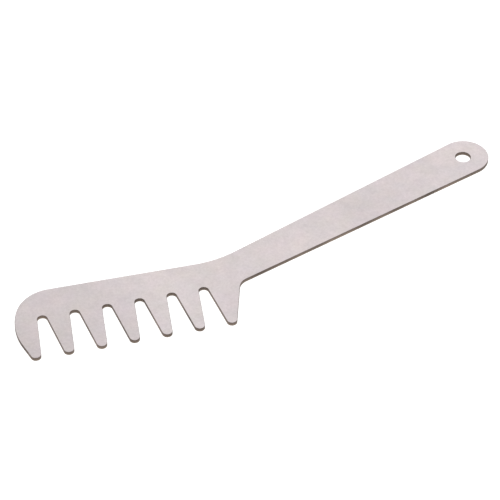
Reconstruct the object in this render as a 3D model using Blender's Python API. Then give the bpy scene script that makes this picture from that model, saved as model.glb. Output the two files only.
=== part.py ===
"""Curry and mane comb for horses, cut in one piece from a flat stainless steel sheet.

The plate lies on its underside. +X runs along the tooth row from the nose to the
handle, the teeth point towards -Y, and +Z goes through the sheet. The world origin
is the middle of the underside's box.

The outline is an edge drawn taut around discs: every rounded corner of the comb is
one disc, and every straight edge is the line that touches two neighbouring discs.
Discs are laid out from the tip of the tooth next to the handle, at x = 0, and from
the line that the roots of the gaps touch, at y = 0.
"""
import math
from collections import namedtuple

import bmesh
import bpy
from mathutils import Vector

MM = 0.001

# Sheet
SHEET_THICKNESS = 1.7 * MM
EDGE_BREAK = 0.2 * MM  # chamfer that tumbling leaves around both faces

# Tooth row
TOOTH_COUNT = 7
TOOTH_PITCH = 13.0 * MM
TOOTH_LENGTH = 22.6 * MM  # root line to tip line
TOOTH_TIP_RADIUS = 2.1 * MM
GAP_ROOT_RADIUS = 2.0 * MM
GAP_RAKE = 0.35 * MM  # each gap's root sits this much nearer to the nose than its mouth

# Head: the solid band above the teeth, and the nose that closes it
BAND_AT_NOSE = 14.3 * MM  # root line to spine
BAND_AT_BEND = 13.8 * MM  # root line to spine, where the spine turns up into the handle
NOSE_TOP_RADIUS = 15.6 * MM
NOSE_TOP_SETBACK = 11.5 * MM  # from the first tooth's tip, towards the handle
NOSE_TOP_TURN = math.radians(65.8)  # how far the tight arc turns before the wide one
NOSE_FRONT_RADIUS = 27.9 * MM

# Handle
HANDLE_END_RADIUS = 10.1 * MM
HANDLE_REACH = 118.1 * MM  # last tooth's tip to the middle of the round end, along X
HANDLE_RISE = 50.2 * MM  # root line to the middle of the round end
BEND_RADIUS = 45.2 * MM  # inside corner between spine and handle
BEND_SETBACK = 6.7 * MM  # from the last tooth's tip, towards the nose
NOTCH_RADIUS = 5.65 * MM  # inside corner between the last tooth and the handle
NOTCH_REACH = 13.05 * MM  # from the last tooth's tip, towards the handle
NOTCH_DROP = 4.8 * MM  # root line down to the middle of the corner
HANG_HOLE_RADIUS = 3.2 * MM
HANG_HOLE_SETBACK = 0.7 * MM  # from the middle of the round end, back along the handle

# How closely short straight edges follow an arc
ARC_SAG = 0.005 * MM
SHARP_ANGLE = math.radians(30)

# A positive radius rounds an outside corner, a negative one an inside corner.
Disc = namedtuple("Disc", "centre radius")
# A point of an outline: the disc that it lies on, and the edge's heading there.
Station = namedtuple("Station", "disc heading")


def nose_discs(first_tooth_x):
    """The tight arc below the spine, then the wide arc down to the first tooth."""
    top_centre = Vector((first_tooth_x + NOSE_TOP_SETBACK, BAND_AT_NOSE - NOSE_TOP_RADIUS))
    outward = Vector((-math.sin(NOSE_TOP_TURN), math.cos(NOSE_TOP_TURN)))
    front_centre = top_centre + outward * (NOSE_TOP_RADIUS - NOSE_FRONT_RADIUS)
    return [Disc(top_centre, NOSE_TOP_RADIUS), Disc(front_centre, NOSE_FRONT_RADIUS)]


def tooth_discs(first_tooth_x):
    """Tooth tips and gap roots in turn, from the nose to the handle."""
    tip_y = TOOTH_TIP_RADIUS - TOOTH_LENGTH
    discs = []
    for tooth in range(TOOTH_COUNT):
        tip_x = first_tooth_x + tooth * TOOTH_PITCH
        root_x = tip_x + TOOTH_PITCH / 2 - GAP_RAKE
        discs.append(Disc(Vector((tip_x, tip_y)), TOOTH_TIP_RADIUS))
        discs.append(Disc(Vector((root_x, -GAP_ROOT_RADIUS)), -GAP_ROOT_RADIUS))
    return discs[:-1]  # no gap follows the last tooth


def handle_discs():
    """The notch behind the last tooth, the handle's round end, and the bend above."""
    bend_centre = Vector((-BEND_SETBACK, BAND_AT_BEND + BEND_RADIUS))
    return [
        Disc(Vector((NOTCH_REACH, -NOTCH_DROP)), -NOTCH_RADIUS),
        Disc(Vector((HANDLE_REACH, HANDLE_RISE)), HANDLE_END_RADIUS),
        Disc(bend_centre, -BEND_RADIUS),
    ]


def tangent_heading(disc, following):
    """Direction of the straight edge that leaves one disc and meets the next."""
    step = following.centre - disc.centre
    lean = (following.radius - disc.radius) / step.length
    # the two nose arcs touch, which makes the lean 1 to within rounding
    return math.atan2(step.y, step.x) - math.asin(max(-1.0, min(1.0, lean)))


def arc_steps(radius, turn):
    """Number of equal chords that keep an arc within ARC_SAG."""
    return max(1, math.ceil(abs(turn) / (2 * math.acos(1 - ARC_SAG / abs(radius)))))


def arc_stations(disc, arrival, departure):
    """Stations around one disc, which an edge meets and leaves at these headings."""
    way = math.copysign(1.0, disc.radius)
    turn = way * ((way * (departure - arrival)) % math.tau)
    steps = arc_steps(disc.radius, turn)
    return [Station(disc, arrival + turn * i / steps) for i in range(steps + 1)]


def on_edge(station, inset=0.0):
    """The point at a station, drawn in from the edge by inset."""
    outward = Vector((math.sin(station.heading), -math.cos(station.heading)))
    return station.disc.centre + outward * (station.disc.radius - inset)


def outer_edge():
    """Stations all round the comb, counter-clockwise."""
    first_tooth_x = -(TOOTH_COUNT - 1) * TOOTH_PITCH
    discs = nose_discs(first_tooth_x) + tooth_discs(first_tooth_x) + handle_discs()
    departures = [tangent_heading(a, b) for a, b in zip(discs, discs[1:] + discs[:1])]
    arrivals = departures[-1:] + departures[:-1]
    stations = []
    for disc, arrival, departure in zip(discs, arrivals, departures):
        stations += arc_stations(disc, arrival, departure)
    # where two arcs touch with no straight edge between them, one station is enough
    before = stations[-1:] + stations[:-1]
    return [b for a, b in zip(before, stations) if (on_edge(b) - on_edge(a)).length > ARC_SAG]


def hang_hole_edge():
    """Stations round the hole near the handle's end, clockwise."""
    notch, end, bend = handle_discs()
    along = (tangent_heading(notch, end) + tangent_heading(end, bend) - math.pi) / 2
    back = Vector((-math.cos(along), -math.sin(along)))
    disc = Disc(end.centre + back * HANG_HOLE_SETBACK, -HANG_HOLE_RADIUS)
    steps = arc_steps(disc.radius, math.tau)
    return [Station(disc, -math.tau * i / steps) for i in range(steps)]


def ring(stations, inset, height):
    """The outline's points at one height, drawn in by inset all the way round."""
    return [(*on_edge(station, inset), height) for station in stations]


def add_wall(bm, stations):
    """The cut edge along one outline. Returns its lowest and its highest edges."""
    profile = [
        (EDGE_BREAK, 0),
        (0, EDGE_BREAK),
        (0, SHEET_THICKNESS - EDGE_BREAK),
        (EDGE_BREAK, SHEET_THICKNESS),
    ]
    rings = [[bm.verts.new(p) for p in ring(stations, *level)] for level in profile]
    for lower, upper in zip(rings, rings[1:]):
        for i in range(len(lower)):
            bm.faces.new((lower[i - 1], lower[i], upper[i], upper[i - 1]))
    return [
        [bm.edges.get((rim[i - 1], rim[i])) for i in range(len(rim))]
        for rim in (rings[0], rings[-1])
    ]


def comb_mesh():
    """The whole plate as one closed mesh, with the hang hole through it."""
    bm = bmesh.new()
    outer_rims = add_wall(bm, outer_edge())
    hole_rims = add_wall(bm, hang_hole_edge())
    for outer_rim, hole_rim in zip(outer_rims, hole_rims):
        bmesh.ops.triangle_fill(bm, use_beauty=True, edges=outer_rim + hole_rim)
    bmesh.ops.recalc_face_normals(bm, faces=bm.faces)
    mesh = bpy.data.meshes.new("comb_plate")
    bm.to_mesh(mesh)
    bm.free()
    mesh.shade_smooth()
    mesh.set_sharp_from_angle(angle=SHARP_ANGLE)
    return mesh


def tumbled_steel():
    """Matt stainless sheet after tumbling in abrasive media."""
    material = bpy.data.materials.new("tumbled_steel")
    material.use_nodes = True
    shader = material.node_tree.nodes["Principled BSDF"]
    shader.inputs["Base Color"].default_value = (0.66, 0.61, 0.61, 1.0)
    shader.inputs["Roughness"].default_value = 0.5
    shader.inputs["Metallic"].default_value = 1.0
    return material


def middle_of_box(mesh):
    """Middle of the mesh's box in X and Y, at the height of its underside."""
    lows, highs = (
        [pick(vertex.co[axis] for vertex in mesh.vertices) for axis in range(3)]
        for pick in (min, max)
    )
    return Vector(((lows[0] + highs[0]) / 2, (lows[1] + highs[1]) / 2, lows[2]))


def build_comb():
    """Places the plate with the middle of its underside's box at the world origin."""
    mesh = comb_mesh()
    mesh.materials.append(tumbled_steel())
    comb = bpy.data.objects.new("comb_plate", mesh)
    comb.location = -middle_of_box(mesh)
    bpy.context.scene.collection.objects.link(comb)


for leftover in list(bpy.data.objects):
    bpy.data.objects.remove(leftover, do_unlink=True)
build_comb()
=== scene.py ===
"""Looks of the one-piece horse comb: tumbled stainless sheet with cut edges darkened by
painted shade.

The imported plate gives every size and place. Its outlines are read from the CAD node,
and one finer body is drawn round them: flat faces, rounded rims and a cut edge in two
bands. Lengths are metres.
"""
import math

import bmesh
import bpy
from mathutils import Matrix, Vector


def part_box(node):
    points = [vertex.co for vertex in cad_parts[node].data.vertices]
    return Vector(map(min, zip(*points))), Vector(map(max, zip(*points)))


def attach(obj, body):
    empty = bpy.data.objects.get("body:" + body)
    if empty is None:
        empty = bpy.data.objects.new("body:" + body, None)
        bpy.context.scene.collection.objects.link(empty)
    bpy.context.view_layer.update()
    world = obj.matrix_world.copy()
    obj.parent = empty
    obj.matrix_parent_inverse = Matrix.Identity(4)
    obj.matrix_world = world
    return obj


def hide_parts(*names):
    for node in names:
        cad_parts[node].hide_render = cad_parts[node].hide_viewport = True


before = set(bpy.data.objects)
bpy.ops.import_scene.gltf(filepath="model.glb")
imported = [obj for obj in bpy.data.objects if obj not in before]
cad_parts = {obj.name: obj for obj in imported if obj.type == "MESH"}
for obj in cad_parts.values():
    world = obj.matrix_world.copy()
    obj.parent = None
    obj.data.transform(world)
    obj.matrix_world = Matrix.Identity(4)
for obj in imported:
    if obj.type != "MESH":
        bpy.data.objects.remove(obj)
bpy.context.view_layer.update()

MM = 0.001
NODE = "comb_plate"

# Body
STEP_ALONG = 1.0 * MM  # longest stretch of outline between two points
RIM_RADIUS = 0.2 * MM  # rounding that tumbling leaves on both rims
RIM_STEPS = 6  # rows of faces round each rim
RIM_REACH = 0.4 * MM  # the flat faces start this far inside the edge
EDGE_STEPS = 4  # rows of faces up the flat part of the cut edge

# Faces
FACE_COLOUR = (0.680, 0.618, 0.621)
TINT_SIZE = 5 * MM
TINT_SWING = (0.025, 0.025, 0.04)
MOTTLE = (  # size of the blotches, swing of the tone
    (0.18 * MM, 0.05),
    (0.5 * MM, 0.055),
    (1.2 * MM, 0.027),
    (2.5 * MM, 0.025),
    (5.0 * MM, 0.025),
    (11.0 * MM, 0.03),
    (22.0 * MM, 0.03),
)
PAINTED_LIGHT_AND_SHADE = (  # broad patches of painted light and shade: middle in X and Y, reach, change of tone
    (-104 * MM, -38 * MM, 75 * MM, -0.10),
    (-46 * MM, -22 * MM, 26 * MM, 0.035),
    (-16 * MM, -34 * MM, 18 * MM, -0.05),
    (-2 * MM, -16 * MM, 22 * MM, -0.035),
    (46 * MM, 12 * MM, 22 * MM, -0.03),
    (62 * MM, 14 * MM, 44 * MM, -0.03),
    (100 * MM, 34 * MM, 30 * MM, 0.02),
)
FACE_ROUGHNESS = (0.49, 0.54)
GRAIN_SIZE = 0.25 * MM
GRAIN_DEPTH = 0.03 * MM
GRAIN_STRENGTH = 0.5
PATCH_SIZE = 1.5 * MM  # blotches where the steel is a little duller or shinier
NOISE_SPAN = (0.3, 0.7)  # where nearly all of the noise lies

# Rims: burnished here and there, partly real wear and partly a painted highlight
RIM_SPAN = (1.0, 0.3)  # depth below the face where a rim starts and is full, in radii
RIM_WEAR_AND_HIGHLIGHT_COLOUR = (0.74, 0.69, 0.69, 1)
WEAR_AND_HIGHLIGHT_SIZE = 1.6 * MM
WEAR_AND_HIGHLIGHT = 0.3  # how much of the rim colour shows where the wear and painted highlight are strongest
WEAR_AND_HIGHLIGHT_SPAN = (0.45, 0.65)  # noise where the wear and painted highlight start and are full
WEAR_POLISH = 0.5  # how much smoother full wear makes the steel

# Cut edge: dark and brown with painted shade, standing in for the dark surroundings it
# reflects; darker above, lighter and browner below
CUT_UPPER_PAINTED_SHADE = (0.178, 0.140, 0.121, 1)
CUT_LOWER_PAINTED_SHADE = (0.235, 0.187, 0.146, 1)
CUT_SPAN = (0.25, 0.02)  # depth below the face where the cut is full and starts, in radii
CUT_DULLNESS = 0.12  # how much rougher the cut is than the faces
BAND_HEIGHT = 0.75 * MM  # top of the lower band
BAND_BLUR = 0.1 * MM  # to each side of it
BAND_WAVER = 0.12 * MM
STREAK_SIZE = 0.2 * MM
STREAK_SQUEEZE = 0.15  # height counts this much, so the streaks stand upright
STREAK_DEPTH = 0.35
STAIN_SIZE = 5 * MM
STAIN_DEPTH = 0.5

# Light
WORLD_STRENGTH = 0.8
KEY_POWER = 7.0
KEY_PLACE = (0.65, 1.9, 1.9)
KEY_SIZE = 2.2

# Floor
FLOOR_REACH = 20.0
FLOOR_LEVEL = -0.1 * MM
FLOOR_TONE = 0.5
FLOOR_GLOW = 0.95  # keeps it evenly white under the comb

# Texture map
MAP_MARGIN = 4 / 1024
EDGE_STRETCH = 5.0  # the narrow cut edge gets this many times more room across

# Camera
CAMERA_AZIMUTH = math.radians(-14.46)
CAMERA_ELEVATION = math.radians(42.52)
CAMERA_DISTANCE = 1.0533
CAMERA_LENS = 188.55
CAMERA_SENSOR = 36.0
CAMERA_AIM = Vector((-5.73 * MM, -2.43 * MM))  # from the middle of the upper face


def plate_box():
    """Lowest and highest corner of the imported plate."""
    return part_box(NODE)


def flat_key(point):
    """A point's X and Y to the nearest tenth of a micrometre."""
    return round(point.x, 7), round(point.y, 7)


def brim_edges(mesh):
    """Edges along the top of the plate's upright wall, as start to end, clockwise."""
    heights = sorted({round(vertex.co.z, 6) for vertex in mesh.vertices})
    foot, brim = heights[1], heights[2]
    following = {}
    for polygon in mesh.polygons:
        corners = [mesh.vertices[i].co for i in polygon.vertices]
        levels = {round(corner.z, 6) for corner in corners}
        if levels != {foot, brim}:
            continue
        for a, b in zip(corners, corners[1:] + corners[:1]):
            if round(a.z, 6) == brim and round(b.z, 6) == brim:
                following[flat_key(a)] = flat_key(b)
    return following


def outlines(mesh):
    """The plate's closed outlines with the metal on their left, the longest first."""
    following = brim_edges(mesh)
    loops = []
    while following:
        start = next(iter(following))
        loop = [start]
        while (point := following.pop(loop[-1])) != start:
            loop.append(point)
        loops.append([Vector(p) for p in reversed(loop)])
    return sorted(loops, key=len, reverse=True)


def spaced(loop):
    """The loop with its long straight edges split into steps."""
    points = []
    for a, b in zip(loop, loop[1:] + loop[:1]):
        steps = max(1, math.ceil((b - a).length / STEP_ALONG))
        points += [a.lerp(b, i / steps) for i in range(steps)]
    return points


def outward_normals(loop):
    """The direction away from the metal at each point of a loop."""
    normals = []
    for before, point, after in zip(loop[-1:] + loop[:-1], loop, loop[1:] + loop[:1]):
        along = (point - before).normalized() + (after - point).normalized()
        normals.append(Vector((along.y, -along.x)).normalized())
    return normals


def edge_profile(low, high):
    """(inset, height) pairs from the flat underside, round the cut edge, to the flat top."""
    profile = [(RIM_REACH, low)]
    for i in range(RIM_STEPS + 1):
        turn = math.pi / 2 * i / RIM_STEPS
        profile.append(
            (RIM_RADIUS * (1 - math.sin(turn)), low + RIM_RADIUS * (1 - math.cos(turn)))
        )
    upright = high - low - 2 * RIM_RADIUS
    for i in range(1, EDGE_STEPS):
        profile.append((0.0, low + RIM_RADIUS + upright * i / EDGE_STEPS))
    for inset, height in reversed(profile[: RIM_STEPS + 2]):
        profile.append((inset, low + high - height))
    return profile


def lengths_along(points):
    """Distance from the first point to each point of a polyline."""
    lengths = [0.0]
    for a, b in zip(points, points[1:]):
        lengths.append(lengths[-1] + (b - a).length)
    return lengths


def add_edge(bm, uv, loop, profile, lay):
    """Draws the profile round one outline. Returns the rims where the flat faces start."""
    normals = outward_normals(loop)
    rings = [
        [bm.verts.new((*(p - n * inset), height)) for p, n in zip(loop, normals)]
        for inset, height in profile
    ]
    along = lengths_along(loop + loop[:1])
    across = lengths_along([Vector(level) for level in profile])
    for j in range(len(rings) - 1):
        for i in range(len(loop)):
            k = (i + 1) % len(loop)
            face = bm.faces.new((rings[j][i], rings[j][k], rings[j + 1][k], rings[j + 1][i]))
            face.smooth = True
            corners = ((i, j), (i + 1, j), (i + 1, j + 1), (i, j + 1))
            for corner, (a, b) in zip(face.loops, corners):
                corner[uv].uv = lay(along[i], along[a], across[b])
    return [
        [bm.edges.get((rim[i - 1], rim[i])) for i in range(len(rim))]
        for rim in (rings[0], rings[-1])
    ]


def map_scale():
    """Map units to a metre: the plate's length fills the map's width."""
    low, high = plate_box()
    return (1 - 2 * MAP_MARGIN) / (high.x - low.x)


def edge_layout(profile, used):
    """Lays an edge on the map as stacked strips. used is the length already laid."""
    low, high = plate_box()
    scale = map_scale()
    strip_length = high.x - low.x - 2 * STEP_ALONG
    strip_height = lengths_along([Vector(level) for level in profile])[-1]
    rise = strip_height * scale * EDGE_STRETCH + MAP_MARGIN
    floor = 2 * ((high.y - low.y) * scale + 2 * MAP_MARGIN)

    def lay(face_start, along, across):
        strip = int((used + face_start) // strip_length)
        return (
            MAP_MARGIN + (used + along - strip * strip_length) * scale,
            floor + strip * rise + across * scale * EDGE_STRETCH,
        )

    return lay


def add_face(bm, uv, rims, is_top):
    """Fills one flat face between the rims and lays it on the map."""
    low, high = plate_box()
    scale = map_scale()
    base = MAP_MARGIN + ((high.y - low.y) * scale + 2 * MAP_MARGIN) * (not is_top)
    filled = bmesh.ops.triangle_fill(
        bm, use_beauty=True, edges=rims, normal=(0, 0, 1 if is_top else -1)
    )
    for face in filled["geom"]:
        if isinstance(face, bmesh.types.BMFace):
            face.smooth = True
            for corner in face.loops:
                place = corner.vert.co
                corner[uv].uv = (
                    MAP_MARGIN + (place.x - low.x) * scale,
                    base + (place.y - low.y) * scale,
                )


def comb_mesh():
    """The whole comb as one closed mesh with its texture map."""
    low, high = plate_box()
    profile = edge_profile(low.z, high.z)
    bm = bmesh.new()
    uv = bm.loops.layers.uv.new("OFBake")
    lower_rims, upper_rims, used = [], [], 0.0
    for outline in outlines(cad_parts[NODE].data):
        loop = spaced(outline)
        lower, upper = add_edge(bm, uv, loop, profile, edge_layout(profile, used))
        lower_rims += lower
        upper_rims += upper
        used += lengths_along(loop + loop[:1])[-1] + STEP_ALONG
    add_face(bm, uv, lower_rims, False)
    add_face(bm, uv, upper_rims, True)
    bmesh.ops.recalc_face_normals(bm, faces=bm.faces)
    mesh = bpy.data.meshes.new("comb")
    bm.to_mesh(mesh)
    bm.free()
    return mesh


def add_node(tree, kind, settings=None, **inputs):
    """Adds a node. inputs are sockets by name, as a plain value or another node's output."""
    node = tree.nodes.new(kind)
    for name, value in (settings or {}).items():
        setattr(node, name, value)
    for name, value in inputs.items():
        socket = node.inputs[name.replace("_", " ")]
        if isinstance(value, bpy.types.NodeSocket):
            tree.links.new(value, socket)
        else:
            socket.default_value = value
    return node


def blend(tree, factor, a, b):
    """One colour fading into another as factor goes from 0 to 1."""
    node = tree.nodes.new("ShaderNodeMix")
    node.data_type = "RGBA"
    for socket, value in ((node.inputs[0], factor), (node.inputs[6], a), (node.inputs[7], b)):
        if isinstance(value, bpy.types.NodeSocket):
            tree.links.new(value, socket)
        else:
            socket.default_value = value
    return node.outputs[2]


def ramp(tree, value, start, end, low=0.0, high=1.0, smooth=True):
    """Maps value from start..end to low..high and holds it outside."""
    settings = {"interpolation_type": "SMOOTHSTEP" if smooth else "LINEAR"}
    node = add_node(
        tree, "ShaderNodeMapRange", settings,
        Value=value, From_Min=start, From_Max=end, To_Min=low, To_Max=high,
    )
    return node.outputs["Result"]


def scaled(tree, colour, factor):
    """A colour made lighter or darker by a factor."""
    node = add_node(
        tree, "ShaderNodeVectorMath", {"operation": "SCALE"}, Vector=colour, Scale=factor
    )
    return node.outputs[0]


def calculate(tree, operation, *values):
    """A Math node's result."""
    node = add_node(tree, "ShaderNodeMath", {"operation": operation})
    for socket, value in zip(node.inputs, values):
        if isinstance(value, bpy.types.NodeSocket):
            tree.links.new(value, socket)
        else:
            socket.default_value = value
    return node.outputs[0]


def noise(tree, place, size, detail=0.0, roughness=1.0):
    """Noise between about 0.2 and 0.8 whose blotches are about size across."""
    node = add_node(
        tree, "ShaderNodeTexNoise",
        Vector=place, Scale=0.5 / size, Detail=detail, Roughness=roughness,
    )
    return node.outputs["Fac"]


def swing(tree, value, amount):
    """Turns noise into a factor round 1 that swings by amount."""
    return ramp(tree, value, 0.0, 1.0, 1 - amount, 1 + amount, smooth=False)


def heights(tree):
    """The mesh's own place, and the height above or below the middle of the sheet."""
    low, high = plate_box()
    place = tree.nodes.new("ShaderNodeTexCoord").outputs["Object"]
    split = add_node(tree, "ShaderNodeSeparateXYZ", Vector=place)
    height = split.outputs["Z"]
    from_middle = calculate(
        tree, "ABSOLUTE", calculate(tree, "SUBTRACT", height, (low.z + high.z) / 2)
    )
    return place, height, from_middle


def painted_light_and_shade_patch(tree, place, x, y, reach, amount):
    """A factor that goes from 1 + amount in the middle of a soft round patch to 1 outside,
    painting shade where amount is below 0 and light where it is above.
    """
    away = add_node(tree, "ShaderNodeVectorMath", {"operation": "DISTANCE"}, Vector=place)
    away.inputs[1].default_value = (x, y, 0)
    return ramp(tree, away.outputs["Value"], 0.0, reach, 1 + amount, 1.0)


def face_tint(tree, place):
    """The face colour, swinging a little in each channel."""
    tint = add_node(
        tree, "ShaderNodeTexNoise", Vector=place, Scale=0.5 / TINT_SIZE, Detail=1, Roughness=1
    )
    hue = tree.nodes.new("ShaderNodeVectorMath")
    hue.operation = "MULTIPLY_ADD"
    tree.links.new(tint.outputs["Color"], hue.inputs[0])
    hue.inputs[1].default_value = [2 * c * s for c, s in zip(FACE_COLOUR, TINT_SWING)]
    hue.inputs[2].default_value = [c * (1 - s) for c, s in zip(FACE_COLOUR, TINT_SWING)]
    return hue.outputs[0]


def face_colour(tree, place):
    """Light steel, mottled by the tumbling at several sizes, with a few broad patches of
    painted light and shade.
    """
    hue = face_tint(tree, place)
    tone = 1.0
    for size, amount in MOTTLE:
        part = swing(tree, noise(tree, place, size), amount)
        tone = calculate(tree, "MULTIPLY", tone, part)
    # Broad patches of painted light and shade over the faces.
    for x, y, reach, amount in PAINTED_LIGHT_AND_SHADE:
        tone = calculate(tree, "MULTIPLY", tone, painted_light_and_shade_patch(tree, place, x, y, reach, amount))
    return scaled(tree, hue, tone)


def cut_colour_with_painted_shade(tree, place, height):
    """The cut edge, darkened by painted shade: two bands with a wavering border, upright
    streaks and wide stains.
    """
    streaked = add_node(tree, "ShaderNodeVectorMath", {"operation": "MULTIPLY"}, Vector=place)
    streaked.inputs[1].default_value = (1, 1, STREAK_SQUEEZE)
    streaks = noise(tree, streaked.outputs[0], STREAK_SIZE, 2)
    waver = ramp(tree, streaks, *NOISE_SPAN, -BAND_WAVER, BAND_WAVER, smooth=False)
    border = calculate(tree, "ADD", height, waver)
    band = ramp(tree, border, BAND_HEIGHT - BAND_BLUR, BAND_HEIGHT + BAND_BLUR)
    stains = noise(tree, place, STAIN_SIZE)
    tone = calculate(
        tree, "MULTIPLY", swing(tree, streaks, STREAK_DEPTH), swing(tree, stains, STAIN_DEPTH)
    )
    return scaled(tree, blend(tree, band, CUT_LOWER_PAINTED_SHADE, CUT_UPPER_PAINTED_SHADE), tone)


def near_face(tree, from_middle, span, at_start, at_end):
    """Fades between two depths below either face, which span gives in rim radii."""
    low, high = plate_box()
    half = (high.z - low.z) / 2
    start, end = (half - depth * RIM_RADIUS for depth in span)
    return ramp(tree, from_middle, start, end, at_start, at_end)


def steel_material():
    """Tumbled stainless sheet: light mottled faces with painted light and shade, rims partly
    burnished and partly painted with a highlight, and cut edges darkened by painted shade.
    """
    material = bpy.data.materials.new("tumbled_steel_look")
    material.use_nodes = True
    tree = material.node_tree
    shader = tree.nodes["Principled BSDF"]
    place, height, from_middle = heights(tree)
    is_cut = near_face(tree, from_middle, CUT_SPAN, 1.0, 0.0)
    on_rim = near_face(tree, from_middle, RIM_SPAN, 0.0, 1.0)
    wear_and_highlight = ramp(tree, noise(tree, place, WEAR_AND_HIGHLIGHT_SIZE, 2), *WEAR_AND_HIGHLIGHT_SPAN, 0.0, WEAR_AND_HIGHLIGHT)
    wear_and_highlight = calculate(tree, "MULTIPLY", calculate(tree, "MULTIPLY", wear_and_highlight, on_rim), is_cut)
    # The cut edge gets its colour with painted shade; the faces keep their mottled colour.
    steel = blend(tree, is_cut, face_colour(tree, place), cut_colour_with_painted_shade(tree, place, height))
    # Rims lightened here and there: partly burnished wear, partly a painted highlight.
    tree.links.new(blend(tree, wear_and_highlight, steel, RIM_WEAR_AND_HIGHLIGHT_COLOUR), shader.inputs["Base Color"])
    shader.inputs["Metallic"].default_value = 1.0
    patches = noise(tree, place, PATCH_SIZE, 2)
    rough = ramp(tree, patches, *NOISE_SPAN, *FACE_ROUGHNESS, smooth=False)
    dulled = calculate(tree, "MULTIPLY", is_cut, CUT_DULLNESS)
    polished = calculate(tree, "MULTIPLY", wear_and_highlight, WEAR_POLISH)
    rough = calculate(tree, "SUBTRACT", calculate(tree, "ADD", rough, dulled), polished)
    tree.links.new(rough, shader.inputs["Roughness"])
    grain = noise(tree, place, GRAIN_SIZE, 2)
    relief = add_node(
        tree, "ShaderNodeBump", Height=grain, Strength=GRAIN_STRENGTH, Distance=GRAIN_DEPTH
    )
    tree.links.new(relief.outputs["Normal"], shader.inputs["Normal"])
    return material


def add_comb():
    """The comb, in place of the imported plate."""
    mesh = comb_mesh()
    mesh.materials.append(steel_material())
    comb = bpy.data.objects.new("comb", mesh)
    bpy.context.scene.collection.objects.link(comb)
    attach(comb, "root")
    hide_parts(NODE)


def add_camera():
    """The camera, from the side of the teeth."""
    low, high = plate_box()
    aim = (low + high) / 2
    aim += CAMERA_AIM.to_3d()
    aim.z = high.z
    back = Vector((
        math.sin(CAMERA_AZIMUTH) * math.cos(CAMERA_ELEVATION),
        -math.cos(CAMERA_AZIMUTH) * math.cos(CAMERA_ELEVATION),
        math.sin(CAMERA_ELEVATION),
    ))
    data = bpy.data.cameras.new("camera")
    data.lens = CAMERA_LENS
    data.sensor_width = CAMERA_SENSOR
    camera = bpy.data.objects.new("camera", data)
    camera.location = aim + back * CAMERA_DISTANCE
    camera.rotation_euler = (-back).to_track_quat("-Z", "Y").to_euler()
    bpy.context.scene.collection.objects.link(camera)
    bpy.context.scene.camera = camera


def add_floor():
    """A plain pale floor just below the comb."""
    mesh = bpy.data.meshes.new("floor")
    corners = [(-1, -1), (1, -1), (1, 1), (-1, 1)]
    mesh.from_pydata(
        [(x * FLOOR_REACH, y * FLOOR_REACH, FLOOR_LEVEL) for x, y in corners],
        [], [(0, 1, 2, 3)],
    )
    material = bpy.data.materials.new("floor")
    material.use_nodes = True
    shader = material.node_tree.nodes["Principled BSDF"]
    shader.inputs["Base Color"].default_value = (FLOOR_TONE, FLOOR_TONE, FLOOR_TONE, 1)
    shader.inputs["Roughness"].default_value = 1.0
    shader.inputs["Specular IOR Level"].default_value = 0.0
    shader.inputs["Emission Color"].default_value = (1, 1, 1, 1)
    shader.inputs["Emission Strength"].default_value = FLOOR_GLOW
    mesh.materials.append(material)
    floor = bpy.data.objects.new("floor", mesh)
    bpy.context.scene.collection.objects.link(floor)


def add_key():
    """A wide soft light from behind the spine, aimed at the middle of the comb."""
    data = bpy.data.lights.new("key", "AREA")
    data.shape = "DISK"
    data.size = KEY_SIZE
    data.energy = KEY_POWER
    light = bpy.data.objects.new("key", data)
    light.location = KEY_PLACE
    light.rotation_euler = Vector(KEY_PLACE).to_track_quat("Z", "Y").to_euler()
    bpy.context.scene.collection.objects.link(light)


def add_world():
    """Even white light from all round."""
    world = bpy.data.worlds.new("studio")
    bpy.context.scene.world = world
    world.use_nodes = True
    background = world.node_tree.nodes["Background"]
    background.inputs["Color"].default_value = (1, 1, 1, 1)
    background.inputs["Strength"].default_value = WORLD_STRENGTH


add_comb()
add_camera()
add_floor()
add_world()
add_key()
bpy.context.scene.view_settings.view_transform = "Standard"
bpy.context.view_layer.update()
